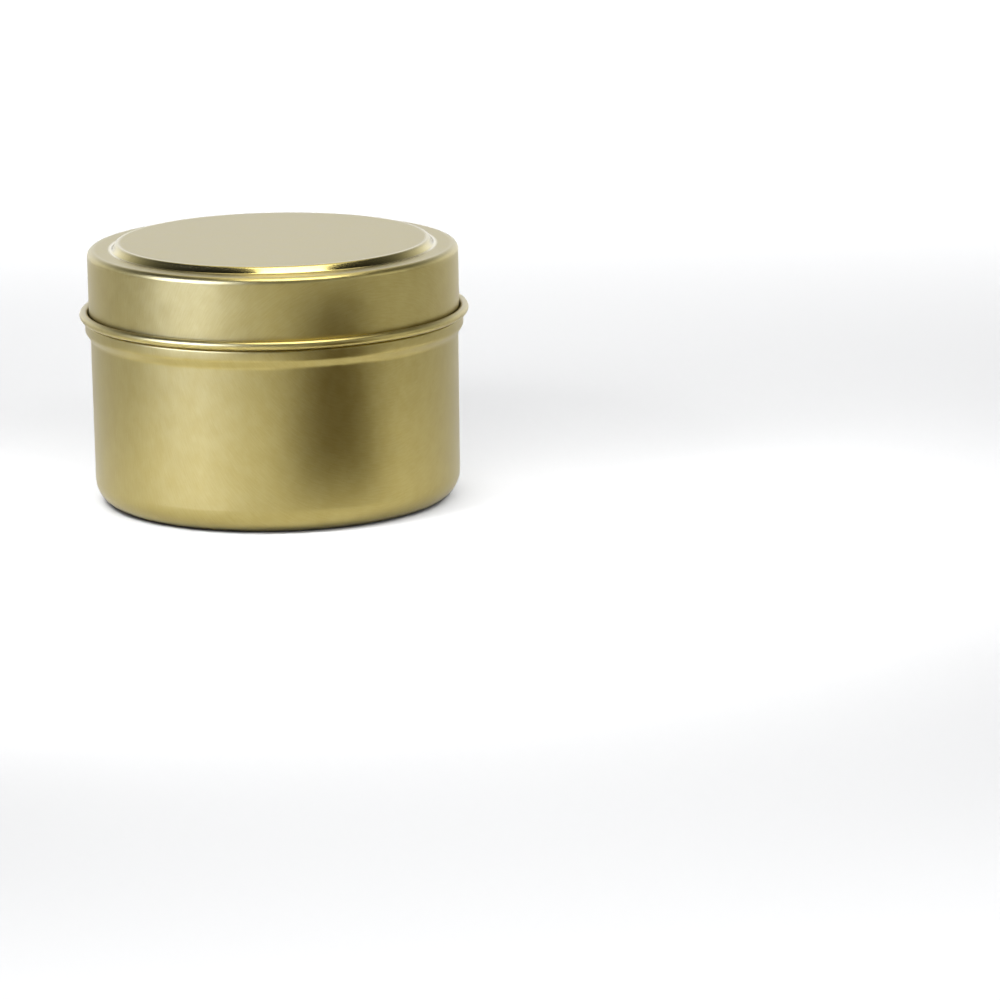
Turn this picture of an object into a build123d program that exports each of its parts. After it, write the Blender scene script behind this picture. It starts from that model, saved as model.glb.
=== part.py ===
from build123d import *
import os

# Round candle tin, closed: a drawn container and a slip-on lid, each one piece of tinplate.
# Millimetres. +Z is up, the tin stands on z = 0, and Z is its axis of symmetry.
# Heights and radii are of the outside of the metal unless they say otherwise.

# container
container_sheet = 0.25
rim_height = 48.8
rim_roll_radius = 0.88  # outside radius of the roll at the mouth, which turns inwards
rim_roll_sweep = 300  # degrees from the neck round to the raw edge
neck_radius = 36.84
neck_foot_height = 38.1  # crease where the neck meets the bead
bead_radius = 37.98
bead_top_height = 36.88
bead_bottom_height = 35.07
bead_foot_height = 33.6  # crease where the bead meets the body
body_top_radius = 36.93
body_bottom_radius = 36.73
base_corner_radius = 5.0
base_ring_radius = 28.5  # inner edge of the flat ring that the tin stands on
base_recess_radius = 27.4
base_recess_depth = 0.7
base_step_bend = 0.6
bead_foot_bend = 0.7
bead_face_bend = 0.8
neck_foot_bend = 0.3

# lid
lid_sheet = 0.22
shoulder_height = 51.4  # flat ring round the raised panel
panel_rise = 1.26
panel_edge_radius = 31.35
panel_foot_radius = 32.25
panel_edge_bend = 0.75
panel_foot_bend = 0.5
skirt_radius = 37.16
skirt_corner_bend = 1.15
hem_bottom_height = 37.4  # the hem hangs just clear of the bead
hem_turn_radius = 1.24  # outside radius where the skirt's foot turns outwards
hem_roll_radius = 0.87  # outside radius of the roll that follows
hem_roll_sweep = 235  # degrees from the lowest point round to the raw edge

container_half = container_sheet / 2
lid_half = lid_sheet / 2
panel_height = shoulder_height + panel_rise
hem_turn_height = hem_bottom_height + hem_turn_radius

# Each sheet is drawn as its mid-line, from the axis out to the raw edge.
with BuildPart() as container:
    with BuildSketch(Plane.XZ):
        with BuildLine():
            wall = FilletPolyline(
                (0, base_recess_depth + container_half),
                (base_recess_radius, base_recess_depth + container_half),
                (base_ring_radius, container_half),
                (body_bottom_radius - container_half, container_half),
                (body_top_radius - container_half, bead_foot_height),
                (bead_radius - container_half, bead_bottom_height),
                (bead_radius - container_half, bead_top_height),
                (neck_radius - container_half, neck_foot_height),
                (neck_radius - container_half, rim_height - rim_roll_radius),
                radius=[
                    base_step_bend,
                    base_step_bend,
                    base_corner_radius - container_half,
                    bead_foot_bend,
                    bead_face_bend,
                    bead_face_bend,
                    neck_foot_bend,
                ],
            )
            JernArc(wall @ 1, (0, 1), rim_roll_radius - container_half, rim_roll_sweep)
        trace(line_width=container_sheet)
    revolve(axis=Axis.Z)

with BuildPart() as lid:
    with BuildSketch(Plane.XZ):
        with BuildLine():
            top = FilletPolyline(
                (0, panel_height - lid_half),
                (panel_edge_radius, panel_height - lid_half),
                (panel_foot_radius, shoulder_height - lid_half),
                (skirt_radius - lid_half, shoulder_height - lid_half),
                (skirt_radius - lid_half, hem_turn_height),
                radius=[panel_edge_bend, panel_foot_bend, skirt_corner_bend],
            )
            turn = JernArc(top @ 1, (0, -1), hem_turn_radius - lid_half, 90)
            JernArc(turn @ 1, (1, 0), hem_roll_radius - lid_half, hem_roll_sweep)
        trace(line_width=lid_sheet)
    revolve(axis=Axis.Z)

container.part.label = "container"
lid.part.label = "lid"

os.makedirs("parts", exist_ok=True)
export_step(container.part, "parts/container.step")
export_step(lid.part, "parts/lid.step")
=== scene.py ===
from math import atan2, ceil, cos, pi, radians, sin, tan

import bpy
from mathutils import Matrix, Vector


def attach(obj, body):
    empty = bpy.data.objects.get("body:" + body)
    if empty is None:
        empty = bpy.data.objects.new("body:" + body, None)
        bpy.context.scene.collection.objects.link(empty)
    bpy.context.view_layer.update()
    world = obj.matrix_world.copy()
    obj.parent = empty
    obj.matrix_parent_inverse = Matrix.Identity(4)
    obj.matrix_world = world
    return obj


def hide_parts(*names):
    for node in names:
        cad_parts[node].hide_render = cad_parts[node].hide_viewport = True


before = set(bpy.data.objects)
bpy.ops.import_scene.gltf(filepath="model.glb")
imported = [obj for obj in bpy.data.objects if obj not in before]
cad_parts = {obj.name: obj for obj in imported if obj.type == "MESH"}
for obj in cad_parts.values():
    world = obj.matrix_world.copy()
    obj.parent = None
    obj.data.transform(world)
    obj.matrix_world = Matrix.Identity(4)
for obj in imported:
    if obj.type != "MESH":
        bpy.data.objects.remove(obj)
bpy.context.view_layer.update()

scene = bpy.context.scene

# The tin's two sheets are profiles in millimetres, turned about Z. The rest is in metres.

# ---------------------------------------------------------------- sheet profiles

SEGMENTS = 288  # round the tin
ARC_STEP = radians(9)  # between the points of a bend
LONGEST_RUN = 2.0  # between two points of a straight
FADE = 0.6  # from a bend to satin metal
LEAD = 0.06  # from a bend to the point that keeps its shading off the straight
ON_AXIS = 1e-6
SHARP_EDGE = radians(50)


def arc(start, heading, radius, turn):
    """Points after start on an arc that leaves it along heading and turns left by turn radians."""
    normal = Vector((-heading.y, heading.x)) * (1 if turn > 0 else -1)
    centre = start + normal * radius
    count = max(2, round(abs(turn) / ARC_STEP))
    return [centre + Matrix.Rotation(turn * i / count, 2) @ (-normal * radius) for i in range(1, count + 1)]


def bent_line(points, bends):
    """The line through points, as (point, burnish) pairs. Each inner corner has a (radius, burnish) bend."""
    points = [Vector(p) for p in points]
    line = [(points[0], 0.0)]
    for before, corner, after, (radius, burnish) in zip(points, points[1:], points[2:], bends):
        inward, outward = (corner - before).normalized(), (after - corner).normalized()
        turn = atan2(inward.cross(outward), inward.dot(outward))
        start = corner - inward * radius * tan(abs(turn) / 2)
        line.append((start, burnish))
        line += [(p, burnish) for p in arc(start, inward, radius, turn)]
    line.append((points[-1], 0.0))
    return line


def rolled(line, heading, radius, turn, burnish):
    """The line with a roll added at its end."""
    return line + [(p, burnish) for p in arc(line[-1][0], Vector(heading), radius, turn)]


def spaced(line):
    """The line with points added along its long straights, where the burnish of a bend fades out."""
    result = [line[0]]
    for (a, burnish_a), (b, burnish_b) in zip(line, line[1:]):
        length = (b - a).length
        if length > LONGEST_RUN:
            count = ceil(length / LONGEST_RUN)
            result.append((a.lerp(b, LEAD / length), burnish_a))
            result.append((a.lerp(b, FADE / length), 0))
            result += [(a.lerp(b, i / count), 0) for i in range(1, count)]
            result.append((b.lerp(a, FADE / length), 0))
            result.append((b.lerp(a, LEAD / length), burnish_b))
        result.append((b, burnish_b))
    return result


def both_skins(line, sheet):
    """A sheet of that thickness about the line, as a loop of (point, burnish, distance along the sheet)."""
    outside, inside, reach = [], [], 0.0
    for i, (point, burnish) in enumerate(line):
        before, after = line[max(i - 1, 0)][0], line[min(i + 1, len(line) - 1)][0]
        along = (after - before).normalized()
        across = Vector((-along.y, along.x)) * sheet / 2
        reach += (point - before).length
        outside.append((point - across, burnish, reach))
        inside.append((point + across, burnish, reach))
    return outside + inside[::-1]


def about_axis(radius, k):
    """The place at that radius in millimetres and k segments round, in metres."""
    angle = 2 * pi * k / SEGMENTS
    return radius * cos(angle) / 1000, radius * sin(angle) / 1000


def lathe(name, line, sheet, body, material):
    """The sheet turned about Z, as a piece.

    Its UV map places each point where it was in the flat round blank the sheet was drawn from, in metres.
    """
    loop = both_skins(line, sheet)
    verts, burnish_values, rings = [], [], []
    for point, burnish, _ in loop:
        first, count = len(verts), 1 if point.x < ON_AXIS else SEGMENTS
        rings.append([first + k % count for k in range(SEGMENTS + 1)])
        verts += [(*about_axis(point.x, k), point.y / 1000) for k in range(count)]
        burnish_values += [burnish] * count

    faces, in_blank = [], []
    for j in range(len(loop) - 1):
        for k in range(SEGMENTS):
            corners = [(j, k), (j, k + 1), (j + 1, k + 1), (j + 1, k)]
            if rings[j][k] == rings[j][k + 1]:
                corners.pop(1)
            elif rings[j + 1][k] == rings[j + 1][k + 1]:
                corners.pop(2)
            faces.append([rings[ring][place] for ring, place in corners])
            for ring, place in corners:
                in_blank += about_axis(loop[ring][2], place)

    mesh = bpy.data.meshes.new(name)
    mesh.from_pydata(verts, [], faces)
    mesh.update()
    mesh.polygons.foreach_set("use_smooth", [True] * len(mesh.polygons))
    mesh.uv_layers.new(name="blank").data.foreach_set("uv", in_blank)
    burnish_layer = mesh.attributes.new("burnish", "FLOAT", "POINT")
    burnish_layer.data.foreach_set("value", burnish_values)
    mesh.set_sharp_from_angle(angle=SHARP_EDGE)
    mesh.materials.append(material)
    piece = bpy.data.objects.new(name, mesh)
    scene.collection.objects.link(piece)
    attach(piece, body)
    return piece


# ---------------------------------------------------------------- shader nodes


class Wiring:
    """Adds nodes to the node tree of a material or world."""

    def __init__(self, owner):
        owner.use_nodes = True
        self.tree = owner.node_tree

    def add(self, kind, inputs=None, **settings):
        """A new node with those settings, and its inputs fed."""
        node = self.tree.nodes.new(kind)
        for name, value in settings.items():
            setattr(node, name, value)
        self.feed(node, inputs or {})
        return node

    def feed(self, node, inputs):
        """Gives each named input its value, or the output that it takes."""
        for name, value in inputs.items():
            if isinstance(value, bpy.types.NodeSocket):
                self.tree.links.new(value, node.inputs[name])
            else:
                node.inputs[name].default_value = value

    def maths(self, operation, *values):
        """The result of one step of arithmetic on the values."""
        return self.add("ShaderNodeMath", dict(enumerate(values)), operation=operation).outputs["Value"]

    def ramp(self, value, start, end, to_start, to_end, interpolation="LINEAR"):
        """The value's range start to end, taken to the range to_start to to_end."""
        inputs = {"Value": value, "From Min": start, "From Max": end, "To Min": to_start, "To Max": to_end}
        return self.add("ShaderNodeMapRange", inputs, interpolation_type=interpolation).outputs["Result"]


# ---------------------------------------------------------------- tinplate

THICK_LACQUER = (0.335, 0.27, 0.090)
THIN_LACQUER = (0.37, 0.305, 0.110)
SATIN_ROUGHNESS = 0.36
BURNISHED_ROUGHNESS = 0.10
ROLLING_ANGLE = radians(35)  # of the grain in the flat blank
FIBRE = (0.0030, 0.0003)  # length and width of a streak of grain
MOTTLE = 0.004  # size of the lacquer's uneven patches
PEEL = 0.0004  # size of the lacquer's fine ripple
SPECK = 0.0008  # size of a speck in the lacquer
SPECK_NOISE = (0.80, 0.86)  # noise at the edge and in the middle of a speck
COMMON_NOISE = (0.3, 0.7)  # where most of a noise lies
SHADE_VARIATION = 0.4  # of the way from thick to thin lacquer
FIBRE_ROUGHNESS = 0.020
MOTTLE_ROUGHNESS = 0.015
PEEL_ROUGHNESS = 0.010
PEEL_RELIEF = 0.4  # of the grain's
RELIEF = 2.3e-6  # height of the grain
WORKED = 0.2  # burnish from which a bend has lost its grain


def tinplate(name, lightness):
    """Gold-lacquered tinplate: satin with a faint rolling grain, and smoother where a die has worked it."""
    material = bpy.data.materials.new(name)
    wiring = Wiring(material)
    blank = wiring.add("ShaderNodeUVMap", uv_map="blank").outputs["UV"]
    burnish = wiring.add("ShaderNodeAttribute", attribute_name="burnish").outputs["Fac"]

    def noise(length, width, detail, angle=0.0):
        """Noise over the flat blank, with patches of that size."""
        placement = {"Vector": blank, "Rotation": (0, 0, angle), "Scale": (length, width, 1)}
        placed = wiring.add("ShaderNodeMapping", placement, vector_type="TEXTURE").outputs["Vector"]
        scaled = {"Vector": placed, "Scale": 1, "Detail": detail}
        return wiring.add("ShaderNodeTexNoise", scaled).outputs["Fac"]

    def varied(pattern, amount):
        """The noise, taken to about zero plus or minus that amount."""
        return wiring.ramp(pattern, *COMMON_NOISE, -amount, amount)

    fibres = noise(*FIBRE, 2, ROLLING_ANGLE)
    mottle = noise(MOTTLE, MOTTLE, 3)
    peel = noise(PEEL, PEEL, 1)
    specks = wiring.ramp(noise(SPECK, SPECK, 0), *SPECK_NOISE, 0, 1)
    unworked = wiring.ramp(burnish, 0, WORKED, 1, 0)

    shade = wiring.maths("ADD", varied(fibres, SHADE_VARIATION), varied(mottle, SHADE_VARIATION))
    shade = wiring.maths("ADD", shade, wiring.ramp(burnish, 0, 1, 0.5, 1))
    thinness = wiring.maths("SUBTRACT", shade, specks)
    # lightness scales both lacquer colours; the lid's value above 1 is painted light
    thick, thin = ((*(lightness * c for c in color), 1) for color in (THICK_LACQUER, THIN_LACQUER))
    lacquer = wiring.add("ShaderNodeMix", {"Factor": thinness, "A": thick, "B": thin}, data_type="RGBA")

    uneven = wiring.maths("ADD", varied(fibres, FIBRE_ROUGHNESS), varied(mottle, MOTTLE_ROUGHNESS))
    uneven = wiring.maths("ADD", uneven, varied(peel, PEEL_ROUGHNESS))
    smoothed = wiring.ramp(burnish, 0, 1, SATIN_ROUGHNESS, BURNISHED_ROUGHNESS)

    height = wiring.maths("MULTIPLY_ADD", peel, PEEL_RELIEF, fibres)
    height = wiring.maths("MULTIPLY", height, unworked)
    grain = wiring.add("ShaderNodeBump", {"Height": height, "Distance": RELIEF})

    surface = {
        "Base Color": lacquer.outputs["Result"],
        "Metallic": 1,
        "Roughness": wiring.maths("MULTIPLY_ADD", uneven, unworked, smoothed),
        "Normal": grain.outputs["Normal"],
    }
    wiring.feed(material.node_tree.nodes["Principled BSDF"], surface)
    return material


# ---------------------------------------------------------------- container
# Heights and radii are of the outside of the metal unless they say otherwise. A bend is its mid-line's radius
# and its burnish, from 0 for satin metal to 1.

CONTAINER_SHEET = 0.25
CONTAINER_HALF = CONTAINER_SHEET / 2
RIM_HEIGHT = 48.8
RIM_ROLL_RADIUS = 0.88  # outside radius of the roll at the mouth, which turns inwards
RIM_ROLL_SWEEP = radians(300)
RIM_BURNISH = 0.4
NECK_RADIUS = 36.84
NECK_FOOT_HEIGHT = 38.1
BEAD_RADIUS = 37.98
BEAD_TOP_HEIGHT = 36.88
BEAD_BOTTOM_HEIGHT = 35.07
BEAD_FOOT_HEIGHT = 33.6
BODY_TOP_RADIUS = 36.93
BODY_BOTTOM_RADIUS = 36.73
BASE_RING_RADIUS = 28.5
BASE_RECESS_RADIUS = 27.4
BASE_RECESS_DEPTH = 0.7
BASE_STEP_BEND = (0.6, 0.4)
BASE_CORNER_BEND = (5.0 - CONTAINER_HALF, 0)
BEAD_FOOT_BEND = (1.6, 0)
BEAD_BOTTOM_BEND = (1.2, 0)
BEAD_TOP_BEND = (0.3, 0)
NECK_FOOT_BEND = (0.3, 0)

wall = bent_line(
    [
        (0, BASE_RECESS_DEPTH + CONTAINER_HALF),
        (BASE_RECESS_RADIUS, BASE_RECESS_DEPTH + CONTAINER_HALF),
        (BASE_RING_RADIUS, CONTAINER_HALF),
        (BODY_BOTTOM_RADIUS - CONTAINER_HALF, CONTAINER_HALF),
        (BODY_TOP_RADIUS - CONTAINER_HALF, BEAD_FOOT_HEIGHT),
        (BEAD_RADIUS - CONTAINER_HALF, BEAD_BOTTOM_HEIGHT),
        (BEAD_RADIUS - CONTAINER_HALF, BEAD_TOP_HEIGHT),
        (NECK_RADIUS - CONTAINER_HALF, NECK_FOOT_HEIGHT),
        (NECK_RADIUS - CONTAINER_HALF, RIM_HEIGHT - RIM_ROLL_RADIUS),
    ],
    [
        BASE_STEP_BEND,
        BASE_STEP_BEND,
        BASE_CORNER_BEND,
        BEAD_FOOT_BEND,
        BEAD_BOTTOM_BEND,
        BEAD_TOP_BEND,
        NECK_FOOT_BEND,
    ],
)
wall = spaced(rolled(wall, (0, 1), RIM_ROLL_RADIUS - CONTAINER_HALF, RIM_ROLL_SWEEP, RIM_BURNISH))
container_metal = tinplate("container_tinplate", 1)
container = lathe("container_shell", wall, CONTAINER_SHEET, "container", container_metal)
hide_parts("container")

# ---------------------------------------------------------------- lid

LID_SHEET = 0.22
LID_HALF = LID_SHEET / 2
PANEL_HEIGHT = 52.66
PANEL_EDGE_RADIUS = 31.35
PANEL_FOOT_RADIUS = 32.25
SHOULDER_HEIGHT = 51.4
SKIRT_RADIUS = 37.16
HEM_BOTTOM_HEIGHT = 37.4
HEM_TURN_RADIUS = 1.24  # outside radius where the skirt's foot turns outwards
HEM_ROLL_RADIUS = 0.87  # outside radius of the roll that follows
HEM_ROLL_SWEEP = radians(235)
HEM_BURNISH = 0.1
PANEL_EDGE_BEND = (0.75, 0.5)
PANEL_FOOT_BEND = (0.5, 0.9)
SKIRT_CORNER_BEND = (1.15, 0.15)
LID_PAINTED_LIGHT = 1.07  # painted light: how much lighter the lid's lacquer colour is than the container's, so the lid looks more brightly lit

shell = bent_line(
    [
        (0, PANEL_HEIGHT - LID_HALF),
        (PANEL_EDGE_RADIUS, PANEL_HEIGHT - LID_HALF),
        (PANEL_FOOT_RADIUS, SHOULDER_HEIGHT - LID_HALF),
        (SKIRT_RADIUS - LID_HALF, SHOULDER_HEIGHT - LID_HALF),
        (SKIRT_RADIUS - LID_HALF, HEM_BOTTOM_HEIGHT + HEM_TURN_RADIUS),
    ],
    [PANEL_EDGE_BEND, PANEL_FOOT_BEND, SKIRT_CORNER_BEND],
)
shell = rolled(shell, (0, -1), HEM_TURN_RADIUS - LID_HALF, radians(90), HEM_BURNISH)
shell = spaced(rolled(shell, (1, 0), HEM_ROLL_RADIUS - LID_HALF, HEM_ROLL_SWEEP, HEM_BURNISH))
# The lid's tinplate gets a lighter lacquer colour: painted light that makes it look more brightly lit than
# the container.
lid_metal = tinplate("lid_tinplate", LID_PAINTED_LIGHT)
lid = lathe("lid_shell", shell, LID_SHEET, "lid", lid_metal)
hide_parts("lid")

# ---------------------------------------------------------------- floor and flag

FLOOR_REACH = 4
FLOOR_COLOR = (0.27, 0.27, 0.27, 1)
FLAG_WIDTH = 0.095
FLAG_HEIGHT = 0.042
FLAG_CORE = 0.010  # half the width of its solid middle at the floor
FLAG_TAPER = 0.3  # how fast its sides lean inwards
FLAG_AZIMUTH = 30
FLAG_DISTANCE = 0.066
FLAG_COLOR = (1, 0.76, 0.25, 1)
FLAG_GLOW = 0.17


def around(azimuth, elevation, distance):
    """A point at that distance from the tin: azimuth 0 in front of it, 90 to its right, in degrees."""
    azimuth, elevation = radians(azimuth), radians(elevation)
    flat = distance * cos(elevation)
    return Vector((flat * sin(azimuth), -flat * cos(azimuth), distance * sin(elevation)))


def staged_sheet(name, corners, material):
    """A flat sheet of the studio, which isn't part of the tin."""
    mesh = bpy.data.meshes.new(name)
    mesh.from_pydata(corners, [], [tuple(range(len(corners)))])
    mesh.materials.append(material)
    sheet = bpy.data.objects.new(name, mesh)
    scene.collection.objects.link(sheet)
    return sheet


floor_material = bpy.data.materials.new("floor")
floor_surface = {"Base Color": FLOOR_COLOR, "Roughness": 0.9, "Specular IOR Level": 0}
floor_wiring = Wiring(floor_material)
floor_wiring.feed(floor_material.node_tree.nodes["Principled BSDF"], floor_surface)
far = FLOOR_REACH
staged_sheet("floor", [(-far, -far, 0), (far, -far, 0), (far, far, 0), (-far, far, 0)], floor_material)

# The flag is a faintly glowing card with soft sides. Only reflections show it: it stands in for the
# reflection of a second tin beside this one.
flag_material = bpy.data.materials.new("flag")
wiring = Wiring(flag_material)
flag_material.node_tree.nodes.clear()
place = wiring.add("ShaderNodeTexCoord")
axes = wiring.add("ShaderNodeSeparateXYZ", {"Vector": place.outputs["Object"]})
off_centre = wiring.maths("ABSOLUTE", axes.outputs["X"])
off_centre = wiring.maths("MULTIPLY_ADD", axes.outputs["Z"], FLAG_TAPER, off_centre)
clearness = wiring.ramp(off_centre, FLAG_CORE, FLAG_WIDTH / 2, 0, 1, "SMOOTHSTEP")
tint = wiring.add("ShaderNodeEmission", {"Color": FLAG_COLOR, "Strength": FLAG_GLOW}).outputs["Emission"]
clear = wiring.add("ShaderNodeBsdfTransparent").outputs["BSDF"]
blend = wiring.add("ShaderNodeMixShader", {"Fac": clearness, 1: tint, 2: clear}).outputs["Shader"]
wiring.add("ShaderNodeOutputMaterial", {"Surface": blend})
side, top = FLAG_WIDTH / 2, FLAG_HEIGHT
flag = staged_sheet("flag", [(-side, 0, 0), (side, 0, 0), (side, 0, top), (-side, 0, top)], flag_material)
flag.location = around(FLAG_AZIMUTH, 0, FLAG_DISTANCE)
flag.rotation_euler.z = radians(FLAG_AZIMUTH)
flag.visible_camera = flag.visible_diffuse = flag.visible_shadow = False

# ---------------------------------------------------------------- lights

CEILING_TURN = radians(9.5)
CEILING_WIDTH = 0.63  # of its height
CEILING_SHIFT = 0.125  # of its height, to the right
POOL_ELEVATION = 46
POOL_DISTANCE = 0.165
POOL_SIZE = 0.06


def softbox(name, azimuth, elevation, distance, width, height, radiance, color=(1, 1, 1)):
    """A rectangular area light that faces the tin."""
    light = bpy.data.lights.new(name, "AREA")
    light.shape = "RECTANGLE"
    light.size, light.size_y = width, height
    light.energy = radiance * pi * width * height
    light.color = color
    holder = bpy.data.objects.new(name, light)
    scene.collection.objects.link(holder)
    holder.location = around(azimuth, elevation, distance)
    holder.rotation_euler = holder.location.to_track_quat("Z", "Y").to_euler()
    holder.visible_camera = False
    return holder


def ceiling(name, start, end, height, radiance):
    """A softbox above the tin, from start to end along a line just off the Y axis, in parts of its height."""
    holder = softbox(name, 0, 90, height, CEILING_WIDTH * height, (end - start) * height, radiance)
    middle = Matrix.Rotation(CEILING_TURN, 3, "Z") @ Vector((0, (start + end) / 2, 0))
    holder.location = height * (Vector((CEILING_SHIFT, 0, 1)) + middle)
    holder.rotation_euler = (0, 0, CEILING_TURN)
    return holder


key = softbox("key", -51, 21, 0.526, width=0.42, height=0.35, radiance=7.0, color=(0.86, 1, 2.0))
key.visible_diffuse = False
softbox("side", 75, 22, 0.6, width=0.3, height=0.3, radiance=0.7)
ceiling("overhead", -0.57, 1.1, height=0.90, radiance=1.8)
ceiling("front_strip", -0.57, -0.05, height=0.88, radiance=7.0).visible_diffuse = False

# The pools brighten the floor round the tin's foot, and with it the lower part of the wall.
for name, azimuth, radiance in (("left_pool", -38, 60.0), ("right_pool", 55, 30.0), ("front_pool", 0, 6.0)):
    pool = softbox(name, azimuth, POOL_ELEVATION, POOL_DISTANCE, POOL_SIZE, POOL_SIZE, radiance)
    pool.visible_glossy = False
fill = softbox("fill", 180, 80, 2.5, width=4.0, height=4.0, radiance=0.4)
fill.visible_glossy = False

# These two keep the floor white behind the tin and in front of it.
background = softbox("background", 180, 28, 1.07, width=2.0, height=0.6, radiance=20.0)
foreground = softbox("foreground", 15, 31, 0.64, width=0.9, height=0.4, radiance=8.0)
for floor_light in (background, foreground):
    floor_light.visible_glossy = False
    floor_light.rotation_euler = (0, 0, 0)  # straight down

# ---------------------------------------------------------------- world

WORLD_COLOR = (0.96, 1, 1.12, 1)
FRONT_GLOW, BACK_GLOW, SIDE_GLOW = 0.35, 1.6, 0.5
HORIZON_GLOW = 0.6  # of the glow higher up
DARK_CEILING = 0.02

# The world glows low down, behind the tin and beside it, under a dark ceiling. Its ramps run along X, Y and Z
# of the direction, a vector of length 1.
world = bpy.data.worlds.new("studio")
scene.world = world
wiring = Wiring(world)
direction = wiring.add("ShaderNodeTexCoord")
toward = wiring.add("ShaderNodeSeparateXYZ", {"Vector": direction.outputs["Generated"]}).outputs
sideways = wiring.maths("ABSOLUTE", toward["X"])


def soft_ramp(value, start, end, to_start, to_end):
    return wiring.ramp(value, start, end, to_start, to_end, "SMOOTHSTEP")


beside = soft_ramp(sideways, 0, 0.6, 0, 1)
beside = wiring.maths("MULTIPLY", beside, soft_ramp(toward["Z"], 0.72, 0, 0, SIDE_GLOW))
behind = soft_ramp(toward["Y"], 0.2, 0.95, FRONT_GLOW, BACK_GLOW)
behind = wiring.maths("MULTIPLY", behind, soft_ramp(toward["Z"], 0.85, 0.1, 0, 1))
glow = wiring.maths("ADD", beside, behind)
glow = wiring.maths("MULTIPLY_ADD", glow, soft_ramp(toward["Z"], 0, 0.2, HORIZON_GLOW, 1), DARK_CEILING)
wiring.feed(world.node_tree.nodes["Background"], {"Color": WORLD_COLOR, "Strength": glow})

# ---------------------------------------------------------------- camera

CAMERA_PLACE = (0.04475, -1.1103, 0.2485)
CAMERA_PITCH = radians(12.70)  # downwards
CAMERA_ROLL = radians(-0.90)

camera_data = bpy.data.cameras.new("camera")
camera_data.sensor_width = 36
camera_data.lens = 202.4
camera = bpy.data.objects.new("camera", camera_data)
scene.collection.objects.link(camera)
camera.location = CAMERA_PLACE
turn = Matrix.Rotation(radians(90) - CAMERA_PITCH, 3, "X") @ Matrix.Rotation(CAMERA_ROLL, 3, "Z")
camera.rotation_euler = turn.to_euler()
scene.camera = camera
scene.view_settings.view_transform = "Standard"
